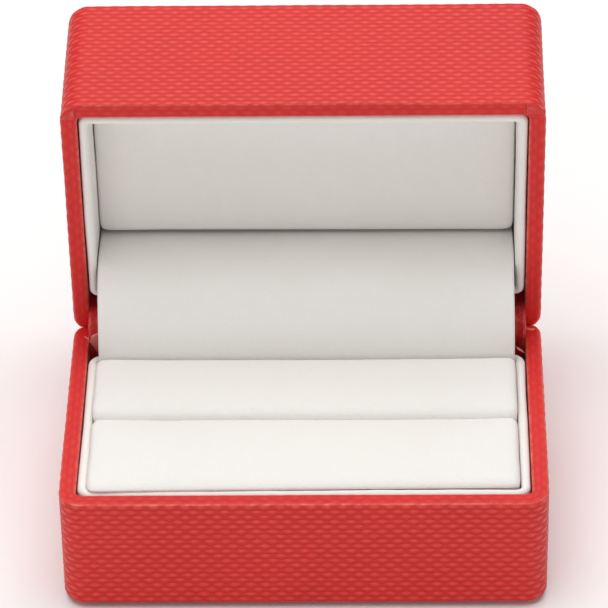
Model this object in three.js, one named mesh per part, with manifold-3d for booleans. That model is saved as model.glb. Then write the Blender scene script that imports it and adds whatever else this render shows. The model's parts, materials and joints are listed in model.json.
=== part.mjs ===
// A small hinged ring box, wrapped in embossed leatherette and lined in white, with its lid open.
// Millimetres, +X to the right, +Y to the back, +Z up. The origin is the middle of the underside.
// The base is modelled as it stands. The lid is modelled shut and then turned open on the hinge pin.
import * as THREE from 'three';
import { mergeVertices } from 'three/addons/utils/BufferGeometryUtils.js';
import Module from 'manifold-3d';

const wasm = await Module();
wasm.setup();

// Overall sizes. A height runs from a half's outer face to its rim.
const WIDTH = 76;
const DEPTH = 47.5;
const BASE_HEIGHT = 20;
const LID_HEIGHT = 26;
const CORNER_RADIUS = 3.6;
const OPEN_ANGLE = THREE.MathUtils.degToRad(85);

// Clearances.
const GLUE_GAP = 0.2; // between pieces that are glued face to face
const SHUT_GAP = 0.3; // between the two rims when the box is shut
const SLIDE_GAP = 0.3; // round a piece that is pushed in

// Shell, wrap and foot.
const WALL = 1.2;
const FLOOR = 1.2;
const WRAP = 0.5;
const WRAP_EDGE = 0.8; // rounding of the wrap along the outer face's edge
const TURN_IN = 7; // how far the wrap comes down inside the rim
const TURN_UNDER = 6; // how far the wrap comes in under the base
const FOOT_THICK = 0.6;
const FOOT_MARGIN = 2.5;

// Collars: the wrapped card frames that line both halves.
const COLLAR_THICK = 1.5;
const COLLAR_RADIUS = 1.6;
const COLLAR_SINK = 0.25; // how far a collar's edge lies below the rim
const COLLAR_BEAD = 0.45; // rounding of a collar's edge
const BASE_COLLAR_SETBACK = 8.35; // from the box's back to the collar's rear bar
const LID_COLLAR_SETBACK = 7.5;

// Hinge.
const PIN_INSET = 1.5; // from the box's back to the pin's axis
const PIN_RADIUS = 0.5;
const PIN_CLEARANCE = 0.1;
const BARREL_RADIUS = 1.1;
const LEAF = 0.5;
const LEAF_HEIGHT = 9;
const HINGE_LENGTH = 56;
const KNUCKLES = 7;
const KNUCKLE_GAP = 0.5;
const REAR_RELIEF = THREE.MathUtils.degToRad(4.5); // what each rim's rear edge clears the open lid by
const CAM_FLAT = 0.9; // from the axis to the flats on the middle knuckle
const SPRING_THICK = 0.4;
const SPRING_WIDTH = 7;
const SPRING_LENGTH = 8;
const RIVET_RADIUS = 0.5;
const RIVET_HEAD_RADIUS = 1.2;
const RIVET_HEAD = 0.5;
const RIVET_SPACING = 40;
const RIVET_DEPTH = 5.5; // from the rim to a rivet
const STRIP = 0.4; // red strip that hides the hinge from inside
const STRIP_REACH = 9;

// Ring cushions.
const CUSHION_PROUD = 0.4; // how far the cushions stand above the rim
const CUSHION_SKIN = 0.6;
const CUSHION_ROUND = 2.2;
const SLIT_PLACE = 16.4; // from the front cushion's front to the ring slit
const SLIT_GAP = 0.6;
const INSERT_CARD = 1;

// Lid pad.
const PAD_DEPTH = 9; // from the lid's rim to the pad's face
const PAD_TO_PIN = 12.5; // from the pin's axis to the pad's lower edge
const PAD_FOAM = 3.2;
const PAD_SKIN = 0.6;
const PAD_BOARD = 1.2;
const PAD_ROUND = 1.4;
const RISER_WALL = 1.2;

// Flap: the stiffened sheet that spans from behind the rear cushion to behind the lid pad.
const FLAP_SKIN = 0.5;
const FLAP_CARD = 0.35;
const FLAP_SLOT = 1.7; // room for the flap between the rear cushion and the base collar
const FLAP_DOWN = 8; // from the rim to the flap's end behind the rear cushion
const FLAP_MOUTH = 1.5; // from the rim to where the flap leaves its slot straight
const FLAP_IN = 5; // how far it reaches in behind the pad's face
const FLAP_UNDER = 1; // from the pad's lower edge to the flap's middle line, at the pad's face
const FLAP_LEAN = 0.9; // what it leans away from the pad by over that reach
// The flap's rise round the pin's axis. Each entry holds the share of the lid's opening, and the share
// of the way out from the slot's distance to the pad's lower edge.
const FLAP_RISE = [[0.45, 0.1], [0.847, 0.58], [1.165, 1.08]];

const LEAST_RADIUS = 0.4; // smallest corner radius of an outline that is moved in
const PAST = 1; // how far a cutter runs past what it cuts

// Planes that follow from the sizes above.
const RIM_Z = FOOT_THICK + GLUE_GAP + BASE_HEIGHT;
const PIN_Y = DEPTH / 2 - PIN_INSET;
const PIN_Z = RIM_Z + SHUT_GAP / 2;
const LID_RIM_Z = RIM_Z + SHUT_GAP;
const SKIN = WRAP + GLUE_GAP; // from the wrap's outer face to the shell
const RIM_WIDTH = 2 * SKIN + WALL;
const COLLAR_OFFSET = RIM_WIDTH + GLUE_GAP; // from the box's side to the collar's outer face
const LINING_OFFSET = COLLAR_OFFSET + COLLAR_THICK; // from the box's side to the collar's inner face
const LINING_WIDTH = WIDTH - 2 * LINING_OFFSET;
const INSERT_WIDTH = LINING_WIDTH - 2 * SLIDE_GAP;
const INSERT_FRONT = -DEPTH / 2 + LINING_OFFSET + SLIDE_GAP;
const BASE_BAR_FACE = DEPTH / 2 - BASE_COLLAR_SETBACK - COLLAR_THICK;
const INSERT_BACK = BASE_BAR_FACE - FLAP_SLOT;
const FLOOR_DEPTH_BASE = BASE_HEIGHT - SKIN - FLOOR;
const FLOOR_DEPTH_LID = LID_HEIGHT - SKIN - FLOOR;
const LEAF_FACE = DEPTH / 2 - RIM_WIDTH - SLIDE_GAP; // back of the hinge leaves
const REAR_CHAMFER = OPEN_ANGLE / 2 + REAR_RELIEF; // slope of the rims' rear edge from the rim plane
const FAR = 4 * WIDTH; // longer than any piece

const COLOURS = {
  wrap: { color: 0xc8302f, roughness: 0.5, metalness: 0 },
  lining: { color: 0xf2efe9, roughness: 0.55, metalness: 0 },
  shell: { color: 0x2b2b2d, roughness: 0.6, metalness: 0 },
  card: { color: 0xb9ad98, roughness: 0.9, metalness: 0 },
  foam: { color: 0xe8e4da, roughness: 1, metalness: 0 },
  steel: { color: 0xa9acb0, roughness: 0.35, metalness: 1 },
  foot: { color: 0x5c1a1c, roughness: 0.95, metalness: 0 },
};

// A closed three.js geometry as a solid that can be joined and cut.
function solid(geometry) {
  const bare = geometry.clone();
  bare.deleteAttribute('normal');
  bare.deleteAttribute('uv');
  const merged = mergeVertices(bare, 1e-5);
  return new wasm.Manifold(new wasm.Mesh({
    numProp: 3,
    vertProperties: new Float32Array(merged.attributes.position.array),
    triVerts: new Uint32Array(merged.index.array),
  }));
}

function geometryOf(body) {
  const mesh = body.getMesh();
  const geometry = new THREE.BufferGeometry();
  geometry.setAttribute('position', new THREE.BufferAttribute(new Float32Array(mesh.vertProperties), 3));
  geometry.setIndex(new THREE.BufferAttribute(new Uint32Array(mesh.triVerts), 1));
  return geometry;
}

// A rectangle with round corners, from (x0, y0) to (x1, y1).
function roundRect(x0, y0, x1, y1, radius) {
  const shape = new THREE.Shape();
  shape.moveTo(x0 + radius, y0);
  shape.lineTo(x1 - radius, y0);
  shape.absarc(x1 - radius, y0 + radius, radius, -Math.PI / 2, 0);
  shape.lineTo(x1, y1 - radius);
  shape.absarc(x1 - radius, y1 - radius, radius, 0, Math.PI / 2);
  shape.lineTo(x0 + radius, y1);
  shape.absarc(x0 + radius, y1 - radius, radius, Math.PI / 2, Math.PI);
  shape.lineTo(x0, y0 + radius);
  shape.absarc(x0 + radius, y0 + radius, radius, Math.PI, 1.5 * Math.PI);
  return shape;
}

// The box's plan outline, moved in by an offset.
function plan(offset) {
  const radius = Math.max(CORNER_RADIUS - offset, LEAST_RADIUS);
  const x = WIDTH / 2 - offset;
  const y = DEPTH / 2 - offset;
  return roundRect(-x, -y, x, y, radius);
}

// The outline extruded between two heights, with both edges rounded by bevel.
function slab(shape, za, zb, bevel = 0, segments = 5) {
  const low = Math.min(za, zb);
  const high = Math.max(za, zb);
  const geometry = new THREE.ExtrudeGeometry(shape, {
    depth: high - low - 2 * bevel,
    curveSegments: segments,
    bevelEnabled: bevel > 0,
    bevelThickness: bevel,
    bevelSize: bevel,
    bevelOffset: -bevel,
    bevelSegments: 3,
  });
  geometry.translate(0, 0, low + bevel);
  return solid(geometry);
}

function box(x0, y0, z0, x1, y1, z1) {
  const geometry = new THREE.BoxGeometry(x1 - x0, y1 - y0, z1 - z0);
  geometry.translate((x0 + x1) / 2, (y0 + y1) / 2, (z0 + z1) / 2);
  return solid(geometry);
}

// A round bar along X from x0 to x1, its middle at (y, z).
function barX(radius, x0, x1, y, z, sides = 24) {
  const geometry = new THREE.CylinderGeometry(radius, radius, x1 - x0, sides);
  geometry.rotateZ(Math.PI / 2);
  geometry.translate((x0 + x1) / 2, y, z);
  return solid(geometry);
}

// A round bar along Y from y0 to y1, its middle at (x, z).
function barY(radius, y0, y1, x, z, sides = 12) {
  const geometry = new THREE.CylinderGeometry(radius, radius, y1 - y0, sides);
  geometry.translate(x, (y0 + y1) / 2, z);
  return solid(geometry);
}

// An outline in the YZ plane, as a list of [y, z], extruded evenly to both sides of the middle.
function prismX(points, width) {
  const shape = new THREE.Shape(points.map(([y, z]) => new THREE.Vector2(y, z)));
  return extrudeX(shape, width);
}

function extrudeX(shape, width, segments = 5) {
  const geometry = new THREE.ExtrudeGeometry(shape, { depth: width, bevelEnabled: false, curveSegments: segments });
  geometry.translate(0, 0, -width / 2);
  geometry.rotateX(Math.PI / 2);
  geometry.rotateZ(Math.PI / 2);
  return solid(geometry);
}

// The base and the lid are alike, so a half says where its rim is and which way it is deep.
const BASE = { rim: RIM_Z, way: -1, height: BASE_HEIGHT };
const LID = { rim: LID_RIM_Z, way: 1, height: LID_HEIGHT };

function level(half, depth) {
  return half.rim + half.way * depth;
}

function layer(half, offset, from, to) {
  return slab(plan(offset), level(half, from), level(half, to));
}

// What is cut from the rear edge of a rim, so that the two edges clear each other as the lid opens.
function rearChamfer(half) {
  const reach = 2 * PIN_INSET;
  const z = PIN_Z;
  return prismX([
    [PIN_Y, z],
    [PIN_Y + reach, z + half.way * reach * Math.tan(REAR_CHAMFER)],
    [PIN_Y + reach, z - half.way * reach],
    [PIN_Y, z - half.way * reach],
  ], FAR);
}

// What is cut from the rear wall, down to a depth, to make room for the hinge barrel.
function barrelNotch(half, depth) {
  const x = HINGE_LENGTH / 2 + SLIDE_GAP;
  const z = [level(half, -PAST), level(half, depth)];
  const y = DEPTH / 2 - RIM_WIDTH - PAST;
  return box(-x, y, Math.min(...z), x, DEPTH / 2 + PAST, Math.max(...z));
}

function rivetHoles(half) {
  const radius = RIVET_RADIUS + GLUE_GAP;
  const z = level(half, RIVET_DEPTH);
  const back = DEPTH / 2 - WRAP - GLUE_GAP / 2;
  const left = barY(radius, 0, back, -RIVET_SPACING / 2, z);
  const right = barY(radius, 0, back, RIVET_SPACING / 2, z);
  return left.add(right);
}

// The stiff tray inside the wrap.
function shell(half) {
  const body = layer(half, SKIN, SKIN, half.height - SKIN)
    .subtract(layer(half, SKIN + WALL, SKIN - PAST, half.height - SKIN - FLOOR));
  return body
    .subtract(rearChamfer(half))
    .subtract(barrelNotch(half, BARREL_RADIUS + 2 * SLIDE_GAP))
    .subtract(rivetHoles(half));
}

// The leatherette: outside, over the rim, and down inside it. The lid's outer face is covered too.
function wrap(half) {
  const outer = slab(plan(0), level(half, -WRAP_EDGE), level(half, half.height), WRAP_EDGE)
    .subtract(box(-FAR, -FAR, Math.min(level(half, 0), level(half, -FAR)),
      FAR, FAR, Math.max(level(half, 0), level(half, -FAR))));
  const wallRoom = layer(half, WRAP, WRAP, TURN_IN + PAST)
    .subtract(layer(half, RIM_WIDTH - WRAP, WRAP - PAST, TURN_IN + 2 * PAST));
  return outer
    .subtract(wallRoom)
    .subtract(layer(half, RIM_WIDTH, -PAST, TURN_IN + PAST))
    .subtract(layer(half, WRAP, TURN_IN, half.height - WRAP))
    .subtract(rearChamfer(half))
    .subtract(barrelNotch(half, BARREL_RADIUS + SLIDE_GAP))
    .subtract(rivetHoles(half));
}

function baseWrap() {
  const opening = layer(BASE, TURN_UNDER, BASE_HEIGHT - PAST, BASE_HEIGHT + PAST);
  return wrap(BASE).subtract(opening);
}

function footSheet() {
  return slab(plan(FOOT_MARGIN), 0, FOOT_THICK);
}

// A wrapped card frame that lines a half, with its free edge rounded.
function collar(half, setback, floorDepth) {
  const x = WIDTH / 2 - COLLAR_OFFSET;
  const front = -DEPTH / 2 + COLLAR_OFFSET;
  const back = DEPTH / 2 - setback;
  const outline = roundRect(-x, front, x, back, COLLAR_RADIUS);
  const inset = COLLAR_THICK;
  const inner = roundRect(-x + inset, front + inset, x - inset, back - inset, LEAST_RADIUS);
  const from = level(half, COLLAR_SINK);
  const to = level(half, floorDepth - GLUE_GAP);
  const bead = COLLAR_BEAD;
  const rounded = slab(outline, from, to + half.way * bead, bead);
  const square = box(-FAR, -FAR, Math.min(from, to), FAR, FAR, Math.max(from, to));
  return rounded.intersect(square).subtract(slab(inner, from - half.way, to + half.way));
}

// One hinge leaf with every second knuckle, starting at the given one.
function leaf(half, first) {
  const edge = PIN_Z + half.way * (BARREL_RADIUS - LEAF);
  const end = edge + half.way * LEAF_HEIGHT;
  const front = LEAF_FACE - LEAF;
  const z0 = Math.min(edge, end);
  const z1 = Math.max(edge, end);
  const length = HINGE_LENGTH / 2;
  let body = box(-length, front, z0, length, LEAF_FACE, z1);
  if (first === 0) {
    body = body.subtract(springWindow());
  }
  const pitch = HINGE_LENGTH / KNUCKLES;
  for (let i = first; i < KNUCKLES; i += 2) {
    const x0 = -length + i * pitch + KNUCKLE_GAP / 2;
    const x1 = x0 + pitch - KNUCKLE_GAP;
    const web = edge + half.way * LEAF;
    body = body
      .add(barX(BARREL_RADIUS, x0, x1, PIN_Y, PIN_Z))
      .add(box(x0, front, Math.min(edge, web), x1, PIN_Y, Math.max(edge, web)));
  }
  const bore = barX(PIN_RADIUS + PIN_CLEARANCE, -length - PAST, length + PAST, PIN_Y, PIN_Z);
  body = body.subtract(bore).subtract(rivetHoles(half));
  return body;
}

// The lid leaf's middle knuckle has two flats that the spring snaps onto, shut and open.
function lidLeaf() {
  const half = HINGE_LENGTH / KNUCKLES / 2;
  let body = leaf(LID, 1);
  for (const angle of [Math.PI, Math.PI + OPEN_ANGLE]) {
    const geometry = new THREE.BoxGeometry(2 * half, BARREL_RADIUS, 4 * BARREL_RADIUS);
    geometry.translate(0, CAM_FLAT + BARREL_RADIUS / 2, 0);
    geometry.rotateX(angle);
    geometry.translate(0, PIN_Y, PIN_Z);
    const web = box(-half, 0, PIN_Z + BARREL_RADIUS - LEAF, half, PIN_Y - BARREL_RADIUS + LEAF, RIM_Z + FAR);
    body = body.subtract(solid(geometry).subtract(web));
  }
  return body;
}

// The window in the base leaf that the spring's tip reaches through.
function springWindow() {
  const x = SPRING_WIDTH / 2 + SLIDE_GAP;
  const z = PIN_Z - BARREL_RADIUS - SLIDE_GAP;
  return box(-x, 0, z, x, DEPTH / 2, RIM_Z + FAR);
}

// A flat spring on the base leaf; its tip bears on the middle knuckle.
function snapSpring() {
  const back = LEAF_FACE - LEAF - GLUE_GAP;
  const front = back - SPRING_THICK;
  const top = PIN_Z;
  const tip = PIN_Y - BARREL_RADIUS - PIN_CLEARANCE;
  return prismX([
    [front, top - SPRING_LENGTH],
    [back, top - SPRING_LENGTH],
    [back, top - SPRING_THICK],
    [tip, top - SPRING_THICK],
    [tip, top],
    [front, top],
  ], SPRING_WIDTH);
}

function hingePin() {
  return barX(PIN_RADIUS, -HINGE_LENGTH / 2, HINGE_LENGTH / 2, PIN_Y, PIN_Z, 20);
}

function rivet(half, side) {
  const x = side * RIVET_SPACING / 2;
  const z = level(half, RIVET_DEPTH);
  const headBack = LEAF_FACE - LEAF - GLUE_GAP;
  const tip = DEPTH / 2 - SKIN - GLUE_GAP;
  return barY(RIVET_HEAD_RADIUS, headBack - RIVET_HEAD, headBack, x, z, 16)
    .add(barY(RIVET_RADIUS, headBack - RIVET_HEAD / 2, tip, x, z));
}

// A sheet of even thickness whose middle line runs through the given [y, z] points.
function bentSheet(points, thick, shift, width) {
  const side = (sign) => points.map(([y, z], i) => {
    const [ya, za] = points[Math.max(i - 1, 0)];
    const [yb, zb] = points[Math.min(i + 1, points.length - 1)];
    const length = Math.hypot(yb - ya, zb - za);
    const off = shift + sign * thick / 2;
    return [y - off * (zb - za) / length, z + off * (yb - ya) / length];
  });
  return prismX([...side(1), ...side(-1).reverse()], width);
}

// A point of the lid's own frame, as it lies with the lid open.
function opened(y, z) {
  const dy = y - PIN_Y;
  const dz = z - PIN_Z;
  const cos = Math.cos(-OPEN_ANGLE);
  const sin = Math.sin(-OPEN_ANGLE);
  return [PIN_Y + dy * cos - dz * sin, PIN_Z + dy * sin + dz * cos];
}

// The red strip glued over both leaves, bent round the barrel.
function hingeStrip() {
  const clear = PIN_Y - (LEAF_FACE - LEAF - GLUE_GAP - RIVET_HEAD - SLIDE_GAP - STRIP / 2);
  const points = [[PIN_Y - clear, PIN_Z - STRIP_REACH]];
  const steps = 6;
  for (let i = 0; i <= steps; i += 1) {
    const angle = Math.PI - OPEN_ANGLE * i / steps;
    points.push([PIN_Y + clear * Math.cos(angle), PIN_Z + clear * Math.sin(angle)]);
  }
  points.push(opened(PIN_Y - clear, PIN_Z + STRIP_REACH));
  return bentSheet(points, STRIP, 0, WIDTH - 2 * (RIM_WIDTH + SLIDE_GAP));
}

// A point at a distance from the pin's axis, turned up from the front by an angle.
function swung(angle, distance) {
  return [PIN_Y - distance * Math.cos(angle), PIN_Z + distance * Math.sin(angle)];
}

// The flap's middle line: up from its slot behind the rear cushion, over the collars, and in behind the pad.
function flapLine() {
  const slot = BASE_BAR_FACE - FLAP_SLOT / 2;
  const nearest = PIN_Y - slot;
  const under = PIN_Y - PAD_TO_PIN + FLAP_UNDER;
  const rise = FLAP_RISE.map(([turn, share]) => {
    return swung(turn * OPEN_ANGLE, nearest + share * (PAD_TO_PIN - nearest));
  });
  const points = [
    [slot, RIM_Z - FLAP_DOWN],
    [slot, RIM_Z - FLAP_MOUTH],
    ...rise,
    opened(under, PIN_Z + PAD_DEPTH),
    opened(under + FLAP_LEAN, PIN_Z + PAD_DEPTH + FLAP_IN),
  ];
  const curve = new THREE.SplineCurve(points.map(([y, z]) => new THREE.Vector2(y, z)));
  return curve.getPoints(26).map((point) => [point.x, point.y]);
}

function flapSkin() {
  return bentSheet(flapLine(), FLAP_SKIN, (FLAP_SKIN + GLUE_GAP) / 2, LINING_WIDTH - 2 * GLUE_GAP);
}

function flapCard() {
  return bentSheet(flapLine(), FLAP_CARD, -(FLAP_CARD + GLUE_GAP) / 2, LINING_WIDTH - 4 * GLUE_GAP);
}

function insertCard() {
  const low = level(BASE, FLOOR_DEPTH_BASE - GLUE_GAP);
  return box(-INSERT_WIDTH / 2, INSERT_FRONT, low, INSERT_WIDTH / 2, INSERT_BACK, low + INSERT_CARD);
}

const CUSHION_LOW = level(BASE, FLOOR_DEPTH_BASE - 2 * GLUE_GAP) + INSERT_CARD;

// A block with a round top, from y0 to y1, moved in all round by an offset.
function cushionBlock(y0, y1, offset, low) {
  const top = RIM_Z + CUSHION_PROUD - offset;
  const radius = CUSHION_ROUND - offset;
  const a = y0 + offset;
  const b = y1 - offset;
  const shape = new THREE.Shape();
  shape.moveTo(a, low);
  shape.lineTo(b, low);
  shape.lineTo(b, top - radius);
  shape.absarc(b - radius, top - radius, radius, 0, Math.PI / 2);
  shape.lineTo(a + radius, top);
  shape.absarc(a + radius, top - radius, radius, Math.PI / 2, Math.PI);
  return extrudeX(shape, INSERT_WIDTH - 2 * offset);
}

function cushionCover(y0, y1) {
  return cushionBlock(y0, y1, 0, CUSHION_LOW)
    .subtract(cushionBlock(y0, y1, CUSHION_SKIN, CUSHION_LOW - PAST));
}

function cushionFoam(y0, y1) {
  return cushionBlock(y0, y1, CUSHION_SKIN + GLUE_GAP, CUSHION_LOW);
}

const SLIT_FRONT = INSERT_FRONT + SLIT_PLACE - SLIT_GAP / 2;
const SLIT_BACK = INSERT_FRONT + SLIT_PLACE + SLIT_GAP / 2;

// The lid pad's outline, moved in by an offset.
function padPlan(offset) {
  const x = INSERT_WIDTH / 2 - offset;
  const radius = Math.max(PAD_ROUND - offset, LEAST_RADIUS);
  return roundRect(-x, INSERT_FRONT + offset, x, PIN_Y - PAD_TO_PIN - offset, radius);
}

const PAD_BACK = PAD_DEPTH + PAD_SKIN + GLUE_GAP + PAD_FOAM;

function padCover() {
  const skirt = level(LID, PAD_BACK + GLUE_GAP + PAD_BOARD);
  return slab(padPlan(0), level(LID, PAD_DEPTH), skirt)
    .subtract(slab(padPlan(PAD_SKIN), level(LID, PAD_DEPTH + PAD_SKIN), skirt + PAST));
}

function padFoam() {
  return slab(padPlan(PAD_SKIN + GLUE_GAP), level(LID, PAD_DEPTH + PAD_SKIN + GLUE_GAP), level(LID, PAD_BACK));
}

function padBoard() {
  const from = PAD_BACK + GLUE_GAP;
  return slab(padPlan(PAD_SKIN + GLUE_GAP), level(LID, from), level(LID, from + PAD_BOARD));
}

// The card frame that holds the pad off the lid's inner face.
function padRiser() {
  const from = level(LID, PAD_BACK + 2 * GLUE_GAP + PAD_BOARD);
  const to = level(LID, FLOOR_DEPTH_LID - GLUE_GAP);
  const outer = PAD_SKIN + GLUE_GAP;
  return slab(padPlan(outer), from, to)
    .subtract(slab(padPlan(outer + RISER_WALL), from - PAST, to + PAST));
}

const ringBox = new THREE.Group();
const lidTurn = new THREE.Group();
lidTurn.position.set(0, PIN_Y, PIN_Z);
lidTurn.rotation.x = -OPEN_ANGLE;
const lid = new THREE.Group();
lid.position.set(0, -PIN_Y, -PIN_Z);
lidTurn.add(lid);
ringBox.add(lidTurn);

function place(group, name, colour, body) {
  const mesh = new THREE.Mesh(geometryOf(body), new THREE.MeshStandardMaterial(COLOURS[colour]));
  mesh.name = name;
  group.add(mesh);
}

place(ringBox, 'base_shell', 'shell', shell(BASE));
place(ringBox, 'base_wrap', 'wrap', baseWrap());
place(ringBox, 'foot_sheet', 'foot', footSheet());
place(ringBox, 'base_collar', 'lining', collar(BASE, BASE_COLLAR_SETBACK, FLOOR_DEPTH_BASE));
place(ringBox, 'insert_card', 'card', insertCard());
place(ringBox, 'front_cushion', 'lining', cushionCover(INSERT_FRONT, SLIT_FRONT));
place(ringBox, 'front_cushion_foam', 'foam', cushionFoam(INSERT_FRONT, SLIT_FRONT));
place(ringBox, 'rear_cushion', 'lining', cushionCover(SLIT_BACK, INSERT_BACK));
place(ringBox, 'rear_cushion_foam', 'foam', cushionFoam(SLIT_BACK, INSERT_BACK));
place(ringBox, 'hinge_base_leaf', 'steel', leaf(BASE, 0));
place(ringBox, 'hinge_pin', 'steel', hingePin());
place(ringBox, 'snap_spring', 'steel', snapSpring());
place(ringBox, 'base_rivet_left', 'steel', rivet(BASE, -1));
place(ringBox, 'base_rivet_right', 'steel', rivet(BASE, 1));
place(ringBox, 'hinge_strip', 'wrap', hingeStrip());
place(ringBox, 'hinge_flap', 'lining', flapSkin());
place(ringBox, 'hinge_flap_card', 'card', flapCard());

place(lid, 'lid_shell', 'shell', shell(LID));
place(lid, 'lid_wrap', 'wrap', wrap(LID));
place(lid, 'lid_collar', 'lining', collar(LID, LID_COLLAR_SETBACK, FLOOR_DEPTH_LID));
place(lid, 'lid_pad', 'lining', padCover());
place(lid, 'lid_pad_foam', 'foam', padFoam());
place(lid, 'lid_pad_board', 'card', padBoard());
place(lid, 'lid_pad_riser', 'card', padRiser());
place(lid, 'hinge_lid_leaf', 'steel', lidLeaf());
place(lid, 'lid_rivet_left', 'steel', rivet(LID, -1));
place(lid, 'lid_rivet_right', 'steel', rivet(LID, 1));

export default ringBox;
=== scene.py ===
import json
import math

import bmesh
import bpy
import numpy as np
from mathutils import Matrix, Vector


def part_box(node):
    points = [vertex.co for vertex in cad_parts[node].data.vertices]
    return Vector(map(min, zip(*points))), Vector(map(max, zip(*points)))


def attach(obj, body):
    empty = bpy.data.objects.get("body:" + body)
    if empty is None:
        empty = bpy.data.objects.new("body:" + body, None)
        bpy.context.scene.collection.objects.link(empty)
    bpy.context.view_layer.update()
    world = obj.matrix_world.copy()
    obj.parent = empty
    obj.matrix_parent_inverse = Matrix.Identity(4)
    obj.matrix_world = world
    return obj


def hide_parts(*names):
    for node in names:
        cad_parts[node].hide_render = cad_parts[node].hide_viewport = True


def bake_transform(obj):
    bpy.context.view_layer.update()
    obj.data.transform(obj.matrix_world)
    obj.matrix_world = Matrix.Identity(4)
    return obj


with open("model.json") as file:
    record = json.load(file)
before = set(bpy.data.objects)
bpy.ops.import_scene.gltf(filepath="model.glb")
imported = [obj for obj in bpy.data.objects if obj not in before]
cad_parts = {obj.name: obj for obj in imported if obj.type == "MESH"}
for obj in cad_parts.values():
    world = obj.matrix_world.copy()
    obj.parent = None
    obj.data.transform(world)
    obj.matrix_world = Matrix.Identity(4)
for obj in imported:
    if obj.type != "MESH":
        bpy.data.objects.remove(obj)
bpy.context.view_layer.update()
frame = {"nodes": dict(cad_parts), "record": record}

bl_info = {
    "name": "Ring Box",
    "version": (1, 0, 0),
    "blender": (4, 5, 0),
    "location": "View3D > Sidebar > Ring Box",
    "description": "Builds the looks of a hinged ring box around its packed frame",
    "category": "Object",
}

MM = 0.001

# What follows from the frame: the hinge, and each half's outer box as it lies with the lid shut.
JOINT = frame["record"]["behaviour"]["joints"][0]
PIN = Vector(JOINT["pos_m"])
OPENING = math.radians(JOINT["range_deg"][1])
TURN_OPEN = Matrix.Translation(PIN) @ Matrix.Rotation(-OPENING, 4, "X") @ Matrix.Translation(-PIN)
TURN_SHUT = TURN_OPEN.inverted()


def shut_box(node):
    """The corners of a lid node's box, as it lies with the lid shut."""
    co = np.array([TURN_SHUT @ v.co for v in frame["nodes"][node].data.vertices])
    return Vector(co.min(0)), Vector(co.max(0))


BASE_LOW, BASE_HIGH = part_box("base_wrap")
LID_LOW, LID_HIGH = shut_box("lid_wrap")
HALF_WIDTH = BASE_HIGH.x
HALF_DEPTH = BASE_HIGH.y
BASE_RIM = BASE_HIGH.z
LID_RIM = LID_LOW.z

# An oval's half length and half height, as shares of the pitch along and of the row's height.
OVAL_HALF_LENGTH = 0.40
OVAL_HALF_HEIGHT = 0.43  # where the finish changes colour
OVAL_HALF_RELIEF = 0.46  # where the mesh's relief ends


# ---------------------------------------------------------------- settings

def length_setting(name, description, default):
    """A length that a user may change."""
    return bpy.props.FloatProperty(name=name, description=description, default=default, unit="LENGTH",
                                   precision=5)


def colour_setting(name, description, default):
    """A colour that a user may change."""
    return bpy.props.FloatVectorProperty(name=name, description=description, default=(*default, 1),
                                         subtype="COLOR", size=4, min=0, max=1)


class RingBoxSizes(bpy.types.PropertyGroup):
    """Sizes of the pieces' finish, in metres."""

    oval_length: length_setting("Oval length", "Pitch of the embossed ovals round the box", 2.43 * MM)
    row_height: length_setting("Row height", "Spacing of the embossed rows", 0.97 * MM)
    relief: length_setting("Relief", "Height of an embossed oval above its groove", 0.055 * MM)
    corner: length_setting("Corner radius", "Radius of the box's upright corners", 3.6 * MM)
    rim: length_setting("Rim width", "Width of the red rim round the lining", 2.6 * MM)
    rim_round: length_setting("Rim rounding", "Radius of the rim's two edges", 0.40 * MM)
    skin: length_setting("Skin", "Thickness of the leatherette", 0.5 * MM)
    collar: length_setting("Collar", "Thickness of the white collars", 1.5 * MM)
    crown: length_setting("Crown", "How far the cushions may swell while they are made", 0.35 * MM)
    pad_crown: length_setting("Pad crown", "How far the lid's pad may swell while it is made", 0.22 * MM)
    voxel: length_setting("Padding mesh", "Mesh size of the padding while it is made", 0.62 * MM)


class RingBoxColours(bpy.types.PropertyGroup):
    """Colours of the finishes."""

    red: colour_setting("Leatherette", "Colour between the ovals", (0.72, 0.013, 0.011))
    # On the ovals: partly pale wear, partly a painted highlight on their tops.
    red_oval_wear_and_highlight: colour_setting("Ovals", "Colour on top of the ovals", (0.87, 0.068, 0.034))
    # In the grooves: painted shade, darkest just below each oval.
    red_groove_shade: colour_setting("Grooves", "Colour in the grooves", (0.52, 0.005, 0.008))
    white: colour_setting("Lining", "Colour of the white leatherette", (0.92, 0.90, 0.865))
    white_dull: colour_setting("Lining, dull", "Colour in the white leatherette's grain", (0.87, 0.845, 0.80))
    foot: colour_setting("Foot", "Colour of the flocked paper below", (0.10, 0.012, 0.015))
    floor: colour_setting("Floor", "Colour of the floor", (0.96, 0.96, 0.96))


def sizes():
    """The sizes as they are set now."""
    return bpy.context.scene.ring_box_sizes


def colours():
    """The colours as they are set now."""
    return bpy.context.scene.ring_box_colours


# ---------------------------------------------------------------- materials

def new_material(name):
    """An empty node material with its shader joined to the output."""
    mat = bpy.data.materials.new(name)
    mat.use_nodes = True
    nodes = mat.node_tree.nodes
    nodes.clear()
    out = nodes.new("ShaderNodeOutputMaterial")
    shader = nodes.new("ShaderNodeBsdfPrincipled")
    mat.node_tree.links.new(shader.outputs[0], out.inputs[0])
    return mat, shader


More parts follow.
